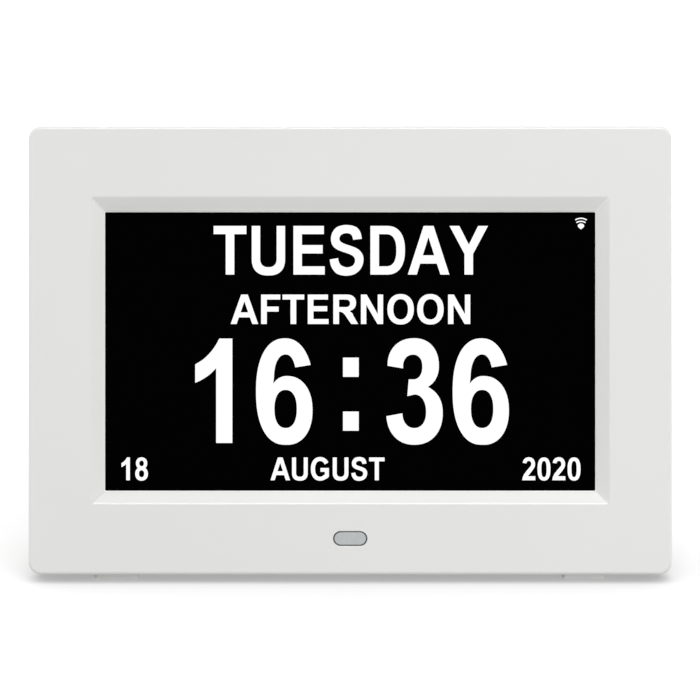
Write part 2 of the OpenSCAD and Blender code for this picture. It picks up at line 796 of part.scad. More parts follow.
module sd_socket()
    color("silver") lean_back() difference() {
        block(socket_x - sd_l, socket_x, board_back, board_back + sd_t, sd_z - sd_w/2, sd_z + sd_w/2);
        block(socket_x - sd_l + socket_gap, socket_x + 1, board_back + sd_shell,
            board_back + sd_shell + sd_slot_t, sd_z - sd_slot_w/2, sd_z + sd_slot_w/2);
    }

// ---------------------------------------------------------------- keys

function key_x(i) = (i - (len(key_names) - 1)/2)*key_pitch;

module key_board()
    color("seagreen") lean_back() translate([0, 0, key_z]) difference() {
        slab(key_board_back - board_t, key_board_back) square([key_board_w, key_board_h], center = true);
        for (s = [-1, 1])
            post(s*key_boss_x, 0, key_thread_r + 0.15, key_board_back - board_t - 1, key_board_back + 1);
    }

module key_switches()
    color("dimgray") lean_back() translate([0, 0, key_z])
        for (i = [0:len(key_names) - 1])
            translate([key_x(i), 0, 0]) difference() {
                slab(key_board_back, switch_top) square([switch_w, switch_w], center = true);
                post(0, 0, plunger_r + fit/2, plunger_tip - plunger_l - 2*key_travel, switch_top + 1);
            }

// flat cable that lies on the main board's rear and on the key board's front
module key_ribbon() {
    y0 = board_back;
    y1 = key_board_back - board_t - ribbon_t;
    z0 = board_z1 - ribbon_lap;
    z1 = board_z1 + 2*ribbon_t;
    z2 = key_z - key_board_h/2 - ribbon_t;
    z3 = z2 + ribbon_lap;
    color("lightgray") lean_back()
        translate([ribbon_x, 0, 0]) rotate([90, 0, 90]) linear_extrude(height = ribbon_w)
            polygon([
                [y0, z0], [y0 + ribbon_t, z0], [y0 + ribbon_t, z1], [y1 + ribbon_t, z2],
                [y1 + ribbon_t, z3], [y1, z3], [y1, z2], [y0, z1]
            ]);
}

// a key: its stem comes through the back, and its flange keeps it in
module key_cap(i)
    color("whitesmoke") lean_back() translate([key_x(i), 0, key_z]) {
        slab(plunger_tip, key_seat) pill(key_w + 2*key_flange_w, key_h + 2*key_flange_w);
        slab(key_seat, body_d + key_proud - key_step) pill(key_w, key_h);
        slab(body_d + key_proud - key_step, body_d + key_proud)
            pill(key_w - 2*key_step, key_h - 2*key_step);
    }

module plunger(i)
    color("black") lean_back()
        post(key_x(i), key_z, plunger_r, plunger_tip - plunger_l, plunger_tip);

// ---------------------------------------------------------------- remote control receiver

module ir_board()
    color("seagreen") lean_back() translate([0, 0, ir_z]) difference() {
        slab(ir_board_y, ir_board_y + ir_board_t) square([ir_board_w, ir_board_h], center = true);
        for (s = [-1, 1])
            post(s*ir_boss_x, 0, ir_thread_r + 0.1, ir_board_y - 1, ir_board_y + ir_board_t + 1);
    }

module ir_receiver()
    color("black") lean_back() translate([0, 0, ir_z]) {
        slab(ir_board_y - ir_chip_t, ir_board_y) square([ir_chip_w, ir_chip_h], center = true);
        intersection() {
            translate([0, ir_board_y - ir_chip_t, 0]) sphere(r = ir_dome_r);
            slab(ir_board_y - ir_chip_t - ir_dome_r, ir_board_y - 1) square(3*ir_dome_r, center = true);
        }
    }

module ir_screws()
    color("gray") lean_back()
        for (s = [-1, 1])
            screw(s*ir_boss_x, ir_z, ir_board_y + ir_board_t, ir_thread_r, ir_screw_l, ir_head_r, ir_head_t);

module ir_lead()
    color("gray") lean_back() tube(smooth(ir_lead_points, lead_steps), lead_r, lead_sides);

// ---------------------------------------------------------------- speaker

module speaker_basket()
    color("dimgray") lean_back() translate([speaker_x, speaker_back, speaker_z]) rotate([-90, 0, 0])
        rotate_extrude() polygon([
            [0, 0], [speaker_floor_r, 0], [speaker_cup_r, speaker_deep - speaker_rim],
            [speaker_r, speaker_deep - speaker_rim], [speaker_r, speaker_deep],
            [speaker_r - speaker_roll_w, speaker_deep],
            [speaker_r - speaker_roll_w, speaker_deep - speaker_sheet],
            [speaker_cup_r - speaker_sheet/2, speaker_deep - speaker_sheet],
            [speaker_floor_r - speaker_sheet/2, speaker_sheet], [0, speaker_sheet]
        ]);

module speaker_cone()
    color("black") lean_back() translate([speaker_x, speaker_back, speaker_z]) rotate([-90, 0, 0])
        rotate_extrude() polygon([
            [0, 1.5*speaker_sheet], [speaker_dust_r, 1.5*speaker_sheet],
            [speaker_cup_r - speaker_roll_w, speaker_deep - 1.5*speaker_sheet],
            [speaker_cup_r - speaker_sheet, speaker_deep - speaker_sheet],
            [speaker_r - speaker_roll_w - fit/2, speaker_deep - speaker_sheet],
            [speaker_r - speaker_roll_w - fit/2, speaker_deep - speaker_sheet/2],
            [speaker_r - 2*speaker_roll_w, speaker_deep - speaker_sheet/3],
            [speaker_cup_r - 1.2*speaker_roll_w, speaker_deep - speaker_sheet],
            [speaker_dust_r, 2*speaker_sheet], [0.7*speaker_dust_r, 3.3*speaker_sheet],
            [0, 3.7*speaker_sheet]
        ]);

module speaker_magnet()
    color("silver") lean_back()
        post(speaker_x, speaker_z, magnet_r, speaker_back - magnet_t, speaker_back);

module speaker_lead()
    color("firebrick") lean_back()
        for (s = [-1, 1])
            tube([for (p = smooth(speaker_lead_points, lead_steps)) p + [0, s*(lead_r + 0.15), 0]],
                lead_r, lead_sides);

// ---------------------------------------------------------------- rear cover

module raised_back()
    translate([0, bezel_d - tiny, mid_z]) rotate([-90, 0, 0])
        rounded_plate(body_w - 2*back_inset, body_h - 2*back_inset, back_r,
            body_d - bezel_d + tiny, back_edge_r);

module keyhole(x) {
    post(x, hang_z, hang_r, back_in - 1, body_d + 1);
    block(x - hang_slot_w/2, x + hang_slot_w/2, back_in - 1, body_d + 1, hang_z, hang_z + hang_slot_l);
    post(x, hang_z + hang_slot_l, hang_slot_w/2, back_in - 1, body_d + 1);
}

// the walls of the stand's recess and the bearings of its pin
module recess_walls()
    intersection() {
        raised_back();
        union() {
            block(-recess_w/2 - wall, recess_w/2 + wall, recess_y - wall, body_d,
                cavity_bottom - wall, recess_top + wall);
            block(-recess_w/2 - wall - ear_w, recess_w/2 + wall + ear_w, recess_y - wall, body_d - tiny,
                hinge_z - ear_h/2, hinge_z + ear_h/2);
        }
    }

module vents(x, z)
    for (i = [0:vent_count - 1])
        translate([x, 0, z + (i - (vent_count - 1)/2)*vent_pitch])
            slab(back_in - 1, body_d + 1) pill(vent_l, vent_h);

module grille()
    for (q = [-3:3], r = [-3:3])
        if (abs(q + r) <= 3)
            post(speaker_x + grille_pitch*(q + r/2), speaker_z + grille_pitch*r*sqrt(3)/2,
                grille_r, back_in - 1, body_d + 1);

vent_drop = 50.5;                       // from the top of the housing's inside to the vents' middle
vent_side = 40.5;                       // from its side
vent_z = cavity_top - vent_drop;
vent_x = cavity_side - vent_side;

module rear_cover()
    color("white") lean_back() difference() {
        union() {
            difference() {
                union() {
                    raised_back();
                    translate([0, 0, mid_z]) slab(bezel_d - wall, bezel_d)
                        rounded_rect(body_w - 2*wall - 2*flange_play, body_h - 2*wall - 2*flange_play,
                            corner_r - wall/2);
                }
                translate([0, 0, mid_z]) slab(bezel_d - wall - tiny, back_in)
                    rounded_rect(cavity_w, cavity_h, back_r - wall);
            }
            recess_walls();
            for (p = case_points)
                post(p[0], p[1], cover_boss_r, boss_meet, back_in + tiny);
            for (p = board_points)
                post(p[0], p[1], board_boss_r, board_back, back_in + tiny);
            for (s = [-1, 1])
                post(s*key_boss_x, key_z, key_boss_r, key_board_back, back_in + tiny);
            // ring round the speaker
            difference() {
                post(speaker_x, speaker_z, speaker_r + fit + rib_t, back_in - speaker_ring_l, back_in + tiny);
                post(speaker_x, speaker_z, speaker_r + fit, back_in - speaker_ring_l - 1, back_in);
            }
        }
        // recess that the stand folds into, open at its foot
        block(-recess_w/2, recess_w/2, recess_y, body_d + 1, cavity_bottom - wall - 1, recess_top);
        translate([-pin_l/2, hinge_y, hinge_z]) rotate([0, 90, 0]) cylinder(r = pin_r, h = pin_l);
        for (p = case_points) {
            post(p[0], p[1], thread_r + 0.4, boss_meet - 1, body_d);
            post(p[0], p[1], sink_r, sink_y, body_d + 1);
        }
        for (p = board_points)
            post(p[0], p[1], thread_r, board_back - 1, board_front + board_screw_l + 0.5);
        for (s = [-1, 1])
            post(s*key_boss_x, key_z, key_thread_r, key_board_back - 1,
                key_board_back - board_t + key_screw_l + 0.5);
        for (i = [0:len(key_names) - 1])
            translate([key_x(i), 0, key_z])
                slab(back_in - 1, body_d + 1) pill(key_w + 2*key_play, key_h + 2*key_play);
        for (s = [-1, 1])
            keyhole(s*hang_pitch/2);
        for (s = [-1, 1])
            vents(s*vent_x, vent_z);
        grille();
        // relief in the flange behind the receiver's board
        block(-ir_board_w/2 - 1, ir_board_w/2 + 1, bezel_d - wall - 1, max(ir_relief, bezel_d - wall),
            ir_z - ir_board_h/2 - 1, cavity_bottom + 1);
        // openings for the sockets
        block(cavity_side - 1, cavity_side + wall + 1, board_back - fit, board_back + dc_t + fit,
            dc_z - dc_w/2 - fit, dc_z + dc_w/2 + fit);
        block(cavity_side - 1, cavity_side + wall + 1, board_back + usb_lift - fit,
            board_back + usb_lift + usb_t + fit, usb_z - usb_w/2 - fit, usb_z + usb_w/2 + fit);
        block(cavity_side - 1, cavity_side + wall + 1, board_back - fit, board_back + sd_t + fit,
            sd_z - sd_w/2 - fit, sd_z + sd_w/2 + fit);
    }

module cover_screws()
    color("gray") lean_back()
        for (p = case_points)
            screw(p[0], p[1], sink_y, thread_r, case_screw_l, head_r, head_t);

// ---------------------------------------------------------------- feet and stand

// a soft wedge under the bezel, cut level with the floor
module foot(x)
    color("gray") lean_back() difference() {
        translate([x, foot_back - foot_l/2, -foot_h]) linear_extrude(height = foot_h)
            rounded_rect(foot_w, foot_l, 1.5);
        under_floor();
    }

module hinge_pin()
    color("silver") lean_back()
        translate([-pin_l/2, hinge_y, hinge_z]) rotate([0, 90, 0]) cylinder(r = pin_r, h = pin_l);

// children are drawn with the hinge at the origin and the stand hanging down, folded
module opened_stand()
    lean_back() translate([0, hinge_y, hinge_z]) rotate([leg_open, 0, 0]) children();

module leg_outline() {
    translate([-leg_w/2, -leg_l + leg_r]) square([leg_w, leg_l - leg_r]);
    translate([-leg_w/2 + leg_r, -leg_l]) square([leg_w - 2*leg_r, leg_r + 1]);
    for (s = [-1, 1])
        translate([s*(leg_w/2 - leg_r), -leg_l + leg_r]) circle(r = leg_r);
}

// the pockets between the ribs on the stand's inner side
module leg_pockets() {
    top = leg_t/2 + 3;
    pitch = (leg_l - top - 2*leg_skin - pad_tongue_l)/leg_rib_count;
    for (i = [0:leg_rib_count - 1])
        translate([0, -leg_t/2 - 1, -top - (i + 0.5)*pitch])
            rotate([-90, 0, 0]) linear_extrude(height = leg_t + 1 - leg_skin)
                rounded_rect(leg_w - 2*leg_skin - (i == leg_rib_count - 1 ? 6 : 0), pitch - leg_skin, 1);
}

// heel above the hinge that meets the recess's floor when the stand is open
module stand_heel() {
    inner = recess_y + tab_gap - hinge_y;
    translate([-tab_w/2, 0, 0]) rotate([90, 0, 90]) linear_extrude(height = tab_w)
        polygon([[inner, 0], [inner, tab_l], [inner + tab_tip, tab_l], [1.5, 1.5], [0, 0]]);
}

module stand_leg()
    color("whitesmoke") difference() {
        union() {
            opened_stand() {
                translate([0, leg_t/2, 0]) rotate([90, 0, 0]) linear_extrude(height = leg_t) leg_outline();
                translate([-leg_w/2, 0, 0]) rotate([0, 90, 0]) cylinder(r = leg_t/2, h = leg_w);
            }
            lean_back() translate([0, hinge_y, hinge_z]) stand_heel();
        }
        opened_stand() {
            leg_pockets();
            translate([-leg_w/2 - 1, 0, 0]) rotate([0, 90, 0]) cylinder(r = pin_r + pin_play, h = leg_w + 2);
            translate([-pad_tongue_w/2 - 0.05, -pad_tongue_t/2 - 0.05, -leg_l - 1])
                cube([pad_tongue_w + 0.1, pad_tongue_t + 0.1, pad_tongue_l + 1]);
        }
    }

// soft foot with a tongue that is pushed into the stand, cut level with the floor
module leg_pad()
    color("gray") difference() {
        opened_stand() {
            translate([-pad_w/2, -leg_t/2, -leg_l - pad_t - 4]) cube([pad_w, leg_t, pad_t + 4]);
            translate([-pad_tongue_w/2, -pad_tongue_t/2, -leg_l - 1])
                cube([pad_tongue_w, pad_tongue_t, pad_tongue_l + 0.9]);
        }
        lean_back() under_floor();
    }

// ---------------------------------------------------------------- one line for each node

front_bezel();
ir_window();
display_gasket();
lcd_frame();
lcd_glass();
lcd_diffuser();
lcd_light_guide();
led_bar();
lcd_back_tray();
lcd_clips();
clip_screws();
lcd_flex();
flex_connector();
main_board();
board_chips();
board_capacitors();
coin_cell_holder();
coin_cell();
lead_headers();
board_screws();
dc_jack();
usb_port();
usb_tongue();
sd_socket();
key_board();
key_switches();
key_ribbon();
ir_receiver();
ir_board();
ir_screws();
ir_lead();
speaker_basket();
speaker_cone();
speaker_magnet();
speaker_lead();
rear_cover();
cover_screws();
foot(-foot_x);  // foot_left
foot(foot_x);  // foot_right
hinge_pin();
stand_leg();
leg_pad();
key_cap(0);  // key_power
key_cap(1);  // key_menu
key_cap(2);  // key_left
key_cap(3);  // key_up
key_cap(4);  // key_down
key_cap(5);  // key_right
key_cap(6);  // key_ok
plunger(0);  // plunger_power
plunger(1);  // plunger_menu
plunger(2);  // plunger_left
plunger(3);  // plunger_up
plunger(4);  // plunger_down
plunger(5);  // plunger_right
plunger(6);  // plunger_ok
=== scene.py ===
import json
import math
import bpy
from mathutils import Matrix, Vector


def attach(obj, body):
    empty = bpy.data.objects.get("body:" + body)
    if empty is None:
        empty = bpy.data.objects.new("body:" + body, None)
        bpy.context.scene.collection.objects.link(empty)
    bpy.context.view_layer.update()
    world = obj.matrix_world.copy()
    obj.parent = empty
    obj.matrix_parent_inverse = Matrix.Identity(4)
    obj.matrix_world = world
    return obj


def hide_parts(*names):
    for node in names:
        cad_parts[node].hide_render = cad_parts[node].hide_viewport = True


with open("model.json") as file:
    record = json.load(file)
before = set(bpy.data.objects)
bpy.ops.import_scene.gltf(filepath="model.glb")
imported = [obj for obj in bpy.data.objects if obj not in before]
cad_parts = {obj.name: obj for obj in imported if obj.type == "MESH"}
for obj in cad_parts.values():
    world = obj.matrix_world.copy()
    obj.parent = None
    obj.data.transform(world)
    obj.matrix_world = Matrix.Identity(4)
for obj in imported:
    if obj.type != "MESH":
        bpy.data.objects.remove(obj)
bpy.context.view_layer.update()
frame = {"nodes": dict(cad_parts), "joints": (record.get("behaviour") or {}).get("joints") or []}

# ---------------------------------------------------------------- the front bezel
# The whole front of the clock is one gloss white moulding: a flat face with rounded edges and a
# slope that runs down to the display. Bosses and ribs for what it carries are moulded inside it.
MM = 0.001
hair = 0.02 * MM  # what is nearer to a plane than this lies on it
out_of_face = Vector(next(j for j in frame["joints"] if j["name"] == "ok_press")["axis"])
up_face = Vector((0, out_of_face.z, -out_of_face.y))


def reach(node, way):
    """How far a CAD node reaches along a direction: its lowest and highest place."""
    places = [v.co.dot(way) for v in frame["nodes"][node].data.vertices]
    return min(places), max(places)


# the face's own axes: X to the right, Y from the face into the clock, Z up from its lower edge
face_front = reach("front_bezel", out_of_face)[1]
face_foot = reach("front_bezel", up_face)[0]
FACE = Matrix.Translation(out_of_face * face_front + up_face * face_foot) @ Matrix((
    (1, 0, 0, 0),
    (0, -out_of_face.y, up_face.y, 0),
    (0, -out_of_face.z, up_face.z, 0),
    (0, 0, 0, 1)))
TO_FACE = FACE.inverted()


def face_box(node):
    """Lowest and highest corner of a CAD node in the face's own axes."""
    places = [TO_FACE @ v.co for v in frame["nodes"][node].data.vertices]
    return [Vector([end(p[i] for p in places) for i in range(3)]) for end in (min, max)]


def inside(place, low, high):
    """Whether a place lies within a box's width and height."""
    return low.x < place.x < high.x and low.z < place.z < high.z


def select_only(piece):
    bpy.ops.object.select_all(action="DESELECT")
    piece.select_set(True)
    bpy.context.view_layer.objects.active = piece


def apply_place(piece):
    select_only(piece)
    bpy.ops.object.transform_apply(location=True, rotation=True, scale=True)


def lean_back(piece):
    """Puts a piece that was made on the face's own axes onto the leaning clock."""
    piece.matrix_world = FACE @ piece.matrix_world
    apply_place(piece)


def smooth_over(piece):
    """Smooth over curves, with the broad faces kept flat and the sharp edges sharp."""
    sharp_turn = math.radians(32)
    select_only(piece)
    bpy.ops.object.shade_smooth_by_angle(angle=sharp_turn)
    weights = piece.modifiers.new("weights", "WEIGHTED_NORMAL")
    weights.keep_sharp = True
    bpy.ops.object.modifier_apply(modifier="weights")


def pick(piece, kind, wanted):
    """Opens a piece in edit mode with only the vertices, edges or polygons that pass a test."""
    kinds = "vertices", "edges", "polygons"
    for group in (getattr(piece.data, k) for k in kinds):
        group.foreach_set("select", [False] * len(group))
    for part in getattr(piece.data, kind):
        part.select = wanted(part)
    select_only(piece)
    bpy.context.tool_settings.mesh_select_mode = [kind == k for k in kinds]
    bpy.ops.object.mode_set(mode="EDIT")


def close_mesh():
    bpy.ops.object.mode_set(mode="OBJECT")


def closed_copy(node, name):
    """A CAD node's shape as one closed skin, smooth over its curves."""
    same_spot = 0.002 * MM
    flat_turn = math.radians(0.5)
    piece = bpy.data.objects.new(name, frame["nodes"][node].data.copy())
    bpy.context.scene.collection.objects.link(piece)
    select_only(piece)
    bpy.ops.object.mode_set(mode="EDIT")
    bpy.ops.mesh.select_all(action="SELECT")
    bpy.ops.mesh.remove_doubles(threshold=same_spot)
    bpy.ops.mesh.dissolve_limited(angle_limit=flat_turn)
    close_mesh()
    smooth_over(piece)
    return piece


def round_edges(piece, radius, wanted):
    """Rounds the edges whose two ends pass a test in the face's own axes."""
    places = [TO_FACE @ v.co for v in piece.data.vertices]
    pick(piece, "edges", lambda edge: wanted(*(places[i] for i in edge.vertices)))
    bpy.ops.mesh.bevel(offset=radius, segments=4)
    close_mesh()
    smooth_over(piece)


def fix(piece, material, body="housing", node=None):
    """Gives a piece its material, makes it move with its body and stand for its CAD node."""
    piece.data.materials.clear()
    piece.data.materials.append(material)
    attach(piece, body)
    if node:
        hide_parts(node)


def feed(tree, node, sockets):
    """Gives each socket of a shader node its value, or links it to another node's output."""
    for socket, given in sockets.items():
        if isinstance(given, bpy.types.NodeSocket):
            tree.links.new(given, node.inputs[socket])
        else:
            node.inputs[socket].default_value = given


def add_node(tree, kind, sockets):
    """A new shader node with its sockets fed. A Mix node mixes colours."""
    node = tree.nodes.new(kind)
    if kind == "ShaderNodeMix":
        node.data_type = "RGBA"
    feed(tree, node, sockets)
    return node


def noise_at(tree, size, detail=3.0, stretch=(1, 1, 1)):
    """A noise whose features are about size metres wide, on the piece's own coordinates."""
    place = add_node(tree, "ShaderNodeTexCoord", {})
    turn = add_node(tree, "ShaderNodeMapping", {
        "Vector": place.outputs["Object"], "Scale": stretch})
    noise = add_node(tree, "ShaderNodeTexNoise", {
        "Vector": turn.outputs["Vector"], "Scale": 1 / size, "Detail": detail})
    return noise.outputs["Fac"]


def spread(tree, value, low, high, span=(0.3, 0.7)):
    """A value's span, which for a noise is its middle range, spread from low to high."""
    return add_node(tree, "ShaderNodeMapRange", {
        "Value": value, "From Min": span[0], "From Max": span[1],
        "To Min": low, "To Max": high}).outputs["Result"]


def surface(name, colour, roughness, cloud=0.03, uneven=0.03, patch=25 * MM, grain=0.4 * MM,
            relief=0.0, stretch=(1, 1, 1), metal=0.0, specular=0.5, more=None):
    """A material with a slightly cloudy colour, uneven gloss and a fine relief."""
    finish = bpy.data.materials.new(name)
    finish.use_nodes = True
    tree = finish.node_tree
    shader = tree.nodes["Principled BSDF"]
    tint = add_node(tree, "ShaderNodeMix", {
        "Factor": spread(tree, noise_at(tree, patch), 0, 1),
        "A": [c * (1 - cloud) for c in colour] + [1],
        "B": [min(c * (1 + cloud), 1) for c in colour] + [1]})
    gloss = noise_at(tree, patch / 8, detail=5, stretch=stretch)
    feed(tree, shader, {
        "Base Color": tint.outputs["Result"],
        "Roughness": spread(tree, gloss, roughness - uneven, roughness + uneven),
        "Metallic": metal, "Specular IOR Level": specular, **(more or {})})
    if relief:
        bump = add_node(tree, "ShaderNodeBump", {
            "Height": noise_at(tree, grain, detail=2, stretch=stretch), "Distance": relief})
        feed(tree, shader, {"Normal": bump.outputs["Normal"]})
    return finish


gloss_white = surface("bezel_gloss_white", (0.742, 0.745, 0.728), 0.12, cloud=0.006, uneven=0.02,
                      patch=60 * MM, grain=5 * MM, relief=0.002 * MM)
# a brighter copy of the bezel's white, a painted highlight for the lip next to the display
lip_highlight_white = surface("lip_polished_white", (0.96, 0.96, 0.955), 0.1, cloud=0.004, uneven=0.02,
                    patch=30 * MM)
bezel = closed_copy("front_bezel", "bezel_moulding")
# the hole for the receiver's window has a rounded edge
window_edge_r = 0.25 * MM
window_low, window_high = face_box("ir_window")
round_edges(bezel, window_edge_r, lambda *ends: all(
    abs(p.y) < hair and inside(p, window_low, window_high) for p in ends))
fix(bezel, gloss_white, node="front_bezel")

# the chamfer and the lip next to the display, both steeper than the slope, get a brighter copy of
# the face's white: a painted highlight along the display's edge
lip_start, lip_end = 3.3 * MM, 4.3 * MM  # behind the face
lip_slant = 0.8  # the slope's own is 0.84, and the face's is 1
view_low, view_high = face_box("display_gasket")
bezel.data.materials.append(lip_highlight_white)
for face in bezel.data.polygons:
    middle = TO_FACE @ face.center
    steep = face.normal.dot(out_of_face) < lip_slant
    if steep and lip_start < middle.y < lip_end and inside(middle, view_low, view_high):
        face.material_index = 1

# ---------------------------------------------------------------- the receiver and its window
# A pale grey window that lets infrared light through is pressed in from behind. The receiver sits
# behind it on a small green board, held by two screws, with a grey lead to the main board.
lens_grey = surface("ir_lens", (0.46, 0.485, 0.49), 0.28, cloud=0.02, grain=2 * MM,
                    relief=0.002 * MM)
window = closed_copy("ir_window", "receiver_window")
window_mid = (window_low + window_high) / 2
window_share = 0.94, 0.9  # what its front fills of the opening's width and height
for vertex in window.data.vertices:
    place = TO_FACE @ vertex.co
    if place.y < window_mid.y:
        place.x = window_mid.x + (place.x - window_mid.x) * window_share[0]
        place.z = window_mid.z + (place.z - window_mid.z) * window_share[1]
        vertex.co = FACE @ place
round_edges(window, window_edge_r, lambda *ends: all(p.y < window_low.y + hair for p in ends))
fix(window, lens_grey, node="ir_window")


def bare_nodes(material, *nodes):
    """CAD nodes that show as they are."""
    for node in nodes:
        finishes = frame["nodes"][node].data.materials
        finishes.clear()
        finishes.append(material)


board_green = surface("board_green", (0.03, 0.16, 0.07), 0.35, cloud=0.12, patch=3 * MM,
                      relief=0.01 * MM)
chip_black = surface("chip_black", (0.018, 0.018, 0.02), 0.55, cloud=0.08, patch=6 * MM,
                     grain=0.12 * MM, relief=0.01 * MM)
pin_steel = surface("pin_steel", (0.40, 0.40, 0.41), 0.32, uneven=0.08, patch=5 * MM, metal=1.0)
ribbon_grey = surface("ribbon_grey", (0.32, 0.32, 0.33), 0.5, patch=12 * MM, relief=0.01 * MM)
bare_nodes(board_green, "ir_board")
bare_nodes(chip_black, "ir_receiver")
bare_nodes(pin_steel, "ir_screws")
bare_nodes(ribbon_grey, "ir_lead")

# ---------------------------------------------------------------- the display module
# A black foam gasket lies on the bezel's rim. Behind it comes the display: a folded steel frame,
# the dark glass, diffuser films, a clear light guide with a row of LEDs, and a white tray.
foam_black = surface("foam_black", (0.02, 0.02, 0.02), 0.85, patch=4 * MM, grain=0.3 * MM,
                     relief=0.05 * MM)
thin_steel = surface("thin_steel", (0.55, 0.55, 0.56), 0.3, uneven=0.08, patch=16 * MM,
                     stretch=(1, 1, 12), metal=1.0)
screen_black = surface("screen_black", (0.0003, 0.0003, 0.0003), 0.3, cloud=0.1, uneven=0.02,
                       patch=8 * MM, grain=0.08 * MM, relief=0.002 * MM, specular=0.005)
diffuser_white = surface("diffuser_white", (0.82, 0.82, 0.79), 0.6, patch=10 * MM)
guide_clear = surface("guide_clear", (0.72, 0.80, 0.83), 0.1, cloud=0.02,
                      more={"Transmission Weight": 0.9})
tray_white = surface("tray_white", (0.80, 0.80, 0.78), 0.45, patch=20 * MM)
led_yellow = surface("led_yellow", (0.78, 0.60, 0.10), 0.35, patch=3 * MM)
bare_nodes(foam_black, "display_gasket")
bare_nodes(thin_steel, "lcd_frame")
bare_nodes(diffuser_white, "lcd_diffuser")
bare_nodes(guide_clear, "lcd_light_guide")
bare_nodes(tray_white, "lcd_back_tray")
bare_nodes(led_yellow, "led_bar")


def dress(node, name, material, body="housing"):
    """A closed copy of a CAD node that shows in its place."""
    fix(closed_copy(node, name), material, body, node)


dress("lcd_glass", "display_glass", screen_black)

# ---------------------------------------------------------------- the readout
# What the display shows: the weekday, the part of the day, the time and the date in plain bold
# capitals, all white on black, and a small signal mark in the corner.


def arc(x, z, rx, rz, start, end, steps=12, square=2.2):
    """Points on a slightly squared ellipse round (x, z), from one angle to another, in degrees."""
    points = []
    for i in range(steps + 1):
        turn = math.radians(start + (end - start) * i / steps)
        across, up = math.cos(turn), math.sin(turn)
        points.append((x + rx * math.copysign(abs(across) ** (2 / square), across),
                       z + rz * math.copysign(abs(up) ** (2 / square), up)))
    return points


def ring(x, z, rx, rz, square=2.2):
    """A whole ellipse, whose last point doesn't repeat its first."""
    return arc(x, z, rx, rz, 0, 350, 35, square)


def flow(*points, steps=5):
    """A smooth line through points."""
    line = []
    for i in range(len(points) - 1):
        a, b, c, d = (points[min(max(i + k, 0), len(points) - 1)] for k in (-1, 0, 1, 2))
        for k in range(steps):
            t = k / steps
            line.append(tuple(b[j] + t / 2 * (c[j] - a[j] + t * (
                2 * a[j] - 5 * b[j] + 4 * c[j] - d[j]
                + t * (3 * b[j] - a[j] - 3 * c[j] + d[j]))) for j in (0, 1)))
    return line + [points[-1]]


